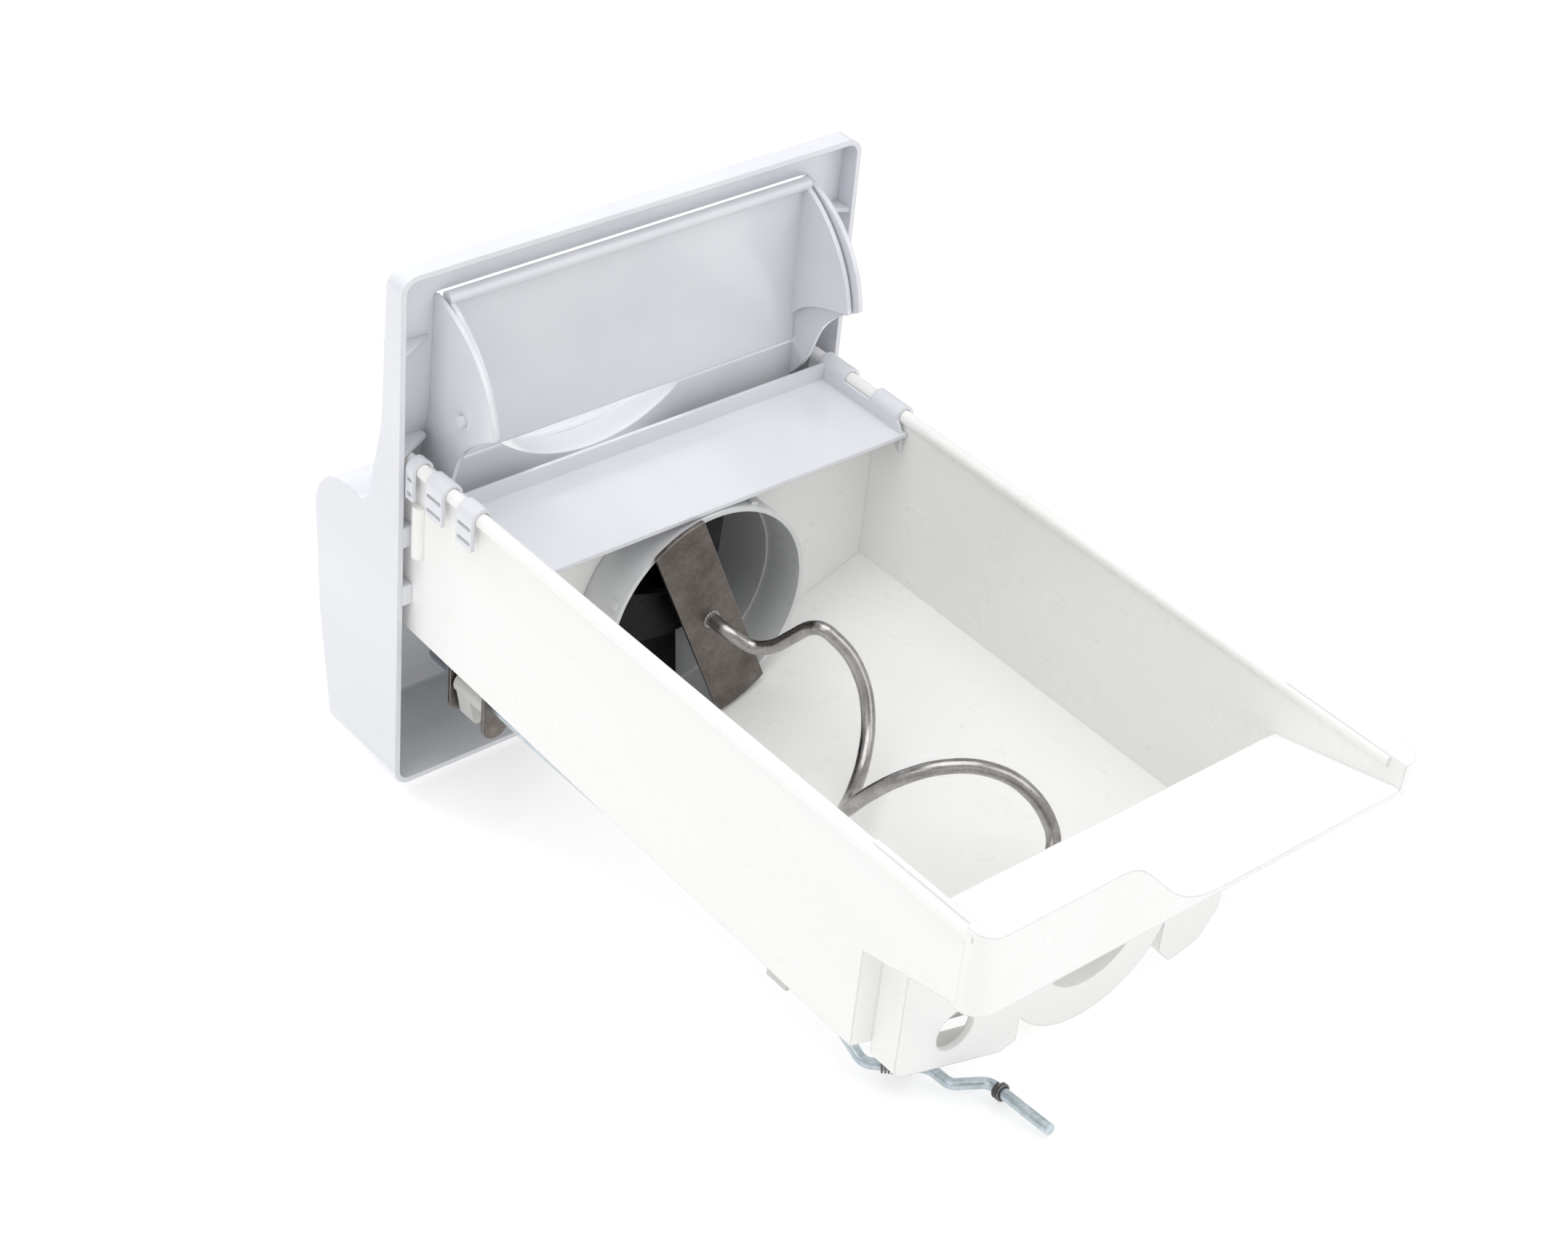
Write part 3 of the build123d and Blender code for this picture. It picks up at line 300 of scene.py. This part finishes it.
# %% Build a tree, run it, keep a plain mesh
class Growth:
    """A Geometry Nodes tree with named number inputs."""

    def __init__(self, name, **sizes):
        self.tree = bpy.data.node_groups.new(name, "GeometryNodeTree")
        face = self.tree.interface
        face.new_socket("Geometry", in_out="OUTPUT", socket_type="NodeSocketGeometry")
        self.ids = {}
        for size in sizes:
            kind = "NodeSocketInt" if isinstance(sizes[size], int) else "NodeSocketFloat"
            self.ids[size] = face.new_socket(size, in_out="INPUT", socket_type=kind).identifier
        self.sizes = sizes
        self.entry = self.tree.nodes.new("NodeGroupInput")
        self.exit = self.tree.nodes.new("NodeGroupOutput")

    def size(self, name):
        """The tree's input of that name."""
        return self.entry.outputs[name]

    def node(self, kind, settings, inputs):
        """Adds a node, sets its options, then its inputs to numbers or other nodes' outputs."""
        made = self.tree.nodes.new(kind)
        for setting, choice in settings.items():
            setattr(made, setting, choice)
        for socket, value in inputs.items():
            if isinstance(value, bpy.types.NodeSocket):
                self.tree.links.new(value, made.inputs[socket])
            else:
                made.inputs[socket].default_value = value
        return made.outputs[0]

    def bake(self, name, material, slot, body, shift, turn=Matrix.Identity(4)):
        """Runs the tree once and keeps the result as a plain mesh on a body."""
        made = bpy.data.objects.new(name + "_maker", bpy.data.meshes.new(name + "_start"))
        bpy.context.scene.collection.objects.link(made)
        modifier = made.modifiers.new("growth", "NODES")
        modifier.node_group = self.tree
        for size, number in self.sizes.items():
            modifier[self.ids[size]] = number
        view = bpy.context.evaluated_depsgraph_get()
        mesh = bpy.data.meshes.new_from_object(made.evaluated_get(view))
        made.modifiers.clear()
        bpy.data.objects.remove(made)
        mesh.transform(Matrix.Translation(shift) @ turn)
        if not mesh.materials:
            mesh.materials.append(material)
        piece = bpy.data.objects.new(name, mesh)
        bpy.context.scene.collection.objects.link(piece)
        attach(piece, body)
        print(name, "has", len(mesh.polygons), "faces")

    def close(self, shape, material):
        """Ends the tree: real geometry, not instances, with its finish."""
        solid = self.node("GeometryNodeRealizeInstances", {}, {0: shape})
        dressed_shape = self.node("GeometryNodeSetMaterial", {}, {"Geometry": solid})
        dressed_shape.node.inputs["Material"].default_value = material
        self.tree.links.new(dressed_shape, self.exit.inputs[0])


print("trees can be grown")

# %% [markdown]
# ## Cross slots in the screw heads
# Eight screws hold the cover and the drum. A driver's cross is two crossed bars. Here it is dark
# and stands a hair above the head: its darkness is painted shade of the recess, which reads as a recess from
# any distance and costs few faces.
# The centres come from the screws' own boxes, less the radius of a head at each end. The cover's
# screws come in from inside the bin, so their heads stand on the inner faces of its two walls.

# %% Crosses on the screws
def cross_tree(name, across, upright):
    """Crosses at the corners of a rectangle in the XY plane, facing +Z."""
    growth = Growth(name, Across=across, Upright=upright, Arm=2.6 * MM, Thick=0.7 * MM, Proud=0.24 * MM)
    corners = growth.node("GeometryNodeMeshGrid", {}, {
        "Size X": growth.size("Across"), "Size Y": growth.size("Upright"),
        "Vertices X": 2, "Vertices Y": 2})
    bars = []
    for first, second in (("Arm", "Thick"), ("Thick", "Arm")):
        extent = growth.node("ShaderNodeCombineXYZ", {}, {
            0: growth.size(first), 1: growth.size(second), 2: growth.size("Proud")})
        bars.append(growth.node("GeometryNodeMeshCube", {}, {"Size": extent}))
    cross = growth.node("GeometryNodeMeshBoolean", {"operation": "UNION"}, {})
    for bar in bars:
        growth.tree.links.new(bar, cross.node.inputs["Mesh 2"])
    placed = growth.node("GeometryNodeInstanceOnPoints", {}, {"Points": corners, "Instance": cross})
    # The crosses take the dark spring steel as painted shade of the screws' cross recesses.
    growth.close(placed, spring_dark_and_slot_shade)
    return growth


bin_wall = 2.5 * MM
bin_half_width = {"left": 113 * MM, "right": 112 * MM}
drum_head_radius = 2.1 * MM
cover_head_radius = 3.2 * MM
cover_head_height = 2.2 * MM

low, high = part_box("housing_screws")
growth = cross_tree("drum_screw_slot_shade", high.x - low.x - 2 * drum_head_radius,
                    high.z - low.z - 2 * drum_head_radius)
centre = (low + high) / 2
growth.bake("drum_screw_slot_shade", spring_dark_and_slot_shade, "spring_steel", "bin",
            Vector((centre.x, low.y, centre.z)), Matrix.Rotation(pi / 2, 4, "X"))

low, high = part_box("cover_screws")
for side, name in ((1, "left"), (-1, "right")):
    growth = cross_tree("cover_screw_slot_shade_" + name, 0.0, high.z - low.z - 2 * cover_head_radius)
    head_face = bin_half_width[name] - bin_wall - cover_head_height
    growth.bake("cover_screw_slot_shade_" + name, spring_dark_and_slot_shade, "spring_steel", "bin",
                Vector((side * head_face, (low.y + high.y) / 2, (low.z + high.z) / 2)),
                Matrix.Rotation(pi / 2, 4, "Z") @ Matrix.Rotation(pi / 2, 4, "X"))

# %% [markdown]
# ## Weld beads on the paddle plate
# The bent wire is welded to the plate's rear face. A weld of this kind is a ring of overlapping
# ripples, so the tree places flattened beads round a circle.

# %% Ring of weld beads
def weld(name, radius, bead, count, place):
    """A ring of beads about the auger's axis, against one face of the plate."""
    growth = Growth(name, Radius=radius, Bead=bead, Count=count)
    ring = growth.node("GeometryNodeMeshCircle", {}, {
        "Vertices": growth.size("Count"), "Radius": growth.size("Radius")})
    ball = growth.node("GeometryNodeMeshIcoSphere", {}, {"Radius": growth.size("Bead"), "Subdivisions": 3})
    placed = growth.node("GeometryNodeInstanceOnPoints", {}, {
        "Points": ring, "Instance": ball, "Scale": (1.0, 1.0, 0.55)})
    growth.close(placed, wire_bright)
    growth.bake(name, wire_bright, "bright_wire", "auger", place, Matrix.Rotation(pi / 2, 4, "X"))


plate_low, plate_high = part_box("auger_plate")
axis = Vector((0, 0, (plate_low.z + plate_high.z) / 2))
weld("wire_weld", radius=3.6 * MM, bead=0.85 * MM, count=16, place=axis + Vector((0, plate_high.y, 0)))

# %% [markdown]
# ## Marks of the mould's ejector pins
# Pins push a moulding out of its tool and leave faint round pads on hidden faces. Two rows of them
# lie under the deflector tray. They are thin discs, set out on a grid.

# %% Ejector pads under the tray
tray_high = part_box("deflector_tray")[1]
tray_under = 139.4 * MM
pads_from_rear = 28 * MM
growth = Growth("tray_pads", Length=0.168, Depth=0.034, Radius=3.2 * MM, Proud=0.3 * MM)
grid = growth.node("GeometryNodeMeshGrid", {}, {
    "Size X": growth.size("Length"), "Size Y": growth.size("Depth"), "Vertices X": 5, "Vertices Y": 2})
pad = growth.node("GeometryNodeMeshCylinder", {}, {
    "Vertices": 32, "Radius": growth.size("Radius"), "Depth": growth.size("Proud")})
growth.close(growth.node("GeometryNodeInstanceOnPoints", {}, {"Points": grid, "Instance": pad}), cover_white)
growth.bake("tray_pads", cover_white, "cover_plastic", "bin",
            Vector((0, tray_high.y - pads_from_rear, tray_under)))

# %% [markdown]
# ## The floor
# The bin was made level, as it hangs in the freezer, but on a table it stands on two places: the
# cover's lower back edge and the round drive housing behind. The floor therefore slopes in the
# bin's own frame. It glows a little, so that it stays a plain white sheet.

# %% Floor
slope = 0.1307
reach = 6.0
clearance = 0.0004
corners = ((-reach, -reach), (reach, -reach), (reach, reach), (-reach, reach))
floor_mesh = bpy.data.meshes.new("floor")
floor_mesh.from_pydata([(x, y, slope * y - clearance) for x, y in corners], [], [(0, 1, 2, 3)])
floor = bpy.data.objects.new("floor", floor_mesh)
bpy.context.scene.collection.objects.link(floor)
paper = Finish("floor_paper", Emission_Color=(1, 1, 1, 1), Emission_Strength=0.56)
paper_tooth = paper.bump(paper.noise(0.002), 0.000004)
floor_mesh.materials.append(paper.finish((0.52, 0.52, 0.52, 1), 0.20, paper_tooth))
print("floor slopes", slope)

# %% [markdown]
# ## The camera
# It looks down along the bin from behind, past the taller wall. Its place and its axes are given in
# the bin's own frame, and a long lens keeps the perspective mild.

# %% Camera
camera = bpy.data.objects.new("camera", bpy.data.cameras.new("camera"))
bpy.context.scene.collection.objects.link(camera)
place = Vector((0.70740, 0.86502, 0.87147))
right = Vector((-0.76863821, 0.63379491, 0.08659855))
up = Vector((-0.32520093, -0.5037391, 0.80030699))
back = right.cross(up)
facing = Matrix((right, up, back)).transposed().to_4x4()
camera.matrix_world = Matrix.Translation(place) @ facing
camera.data.sensor_width = 36
camera.data.lens = 69.93
camera.data.clip_end = 50
bpy.context.scene.camera = camera
print("camera looks along", [round(v, 3) for v in -back])

# %% [markdown]
# ## The lights
# The room is pale all round, which fills the shadows. Four soft boxes shape the bin: the key and
# the fill from its two sides, the top light into the trough and the front light on the cover.

# %% Lights
world = bpy.data.worlds.new("studio")
bpy.context.scene.world = world
world.use_nodes = True
sky = world.node_tree.nodes["Background"]
sky.inputs["Color"].default_value = (0.985, 0.99, 1.0, 1)
sky.inputs["Strength"].default_value = 0.52


def lamp(name, place, target, width, power):
    """A soft box: a square light that faces a point."""
    light = bpy.data.lights.new(name, "AREA")
    light.size, light.energy = width, power
    made = bpy.data.objects.new(name, light)
    bpy.context.scene.collection.objects.link(made)
    way = Vector(target) - Vector(place)
    made.matrix_world = Matrix.Translation(place) @ way.to_track_quat("-Z", "Y").to_matrix().to_4x4()


trough_middle = (0, 0.15, 0.1)
cover_middle = (0, -0.02, 0.14)
lamp("key_light", (1.9, 0.4, 1.3), trough_middle, width=1.2, power=6)
lamp("fill_light", (-1.0, 1.9, 1.4), trough_middle, width=1.6, power=11)
lamp("top_light", (0.2, 0.3, 2.4), trough_middle, width=2.2, power=30)
lamp("front_light", (0.15, -1.6, 0.85), cover_middle, width=0.9, power=24)
bpy.context.scene.view_settings.view_transform = "Standard"
print("four soft boxes and a pale room")
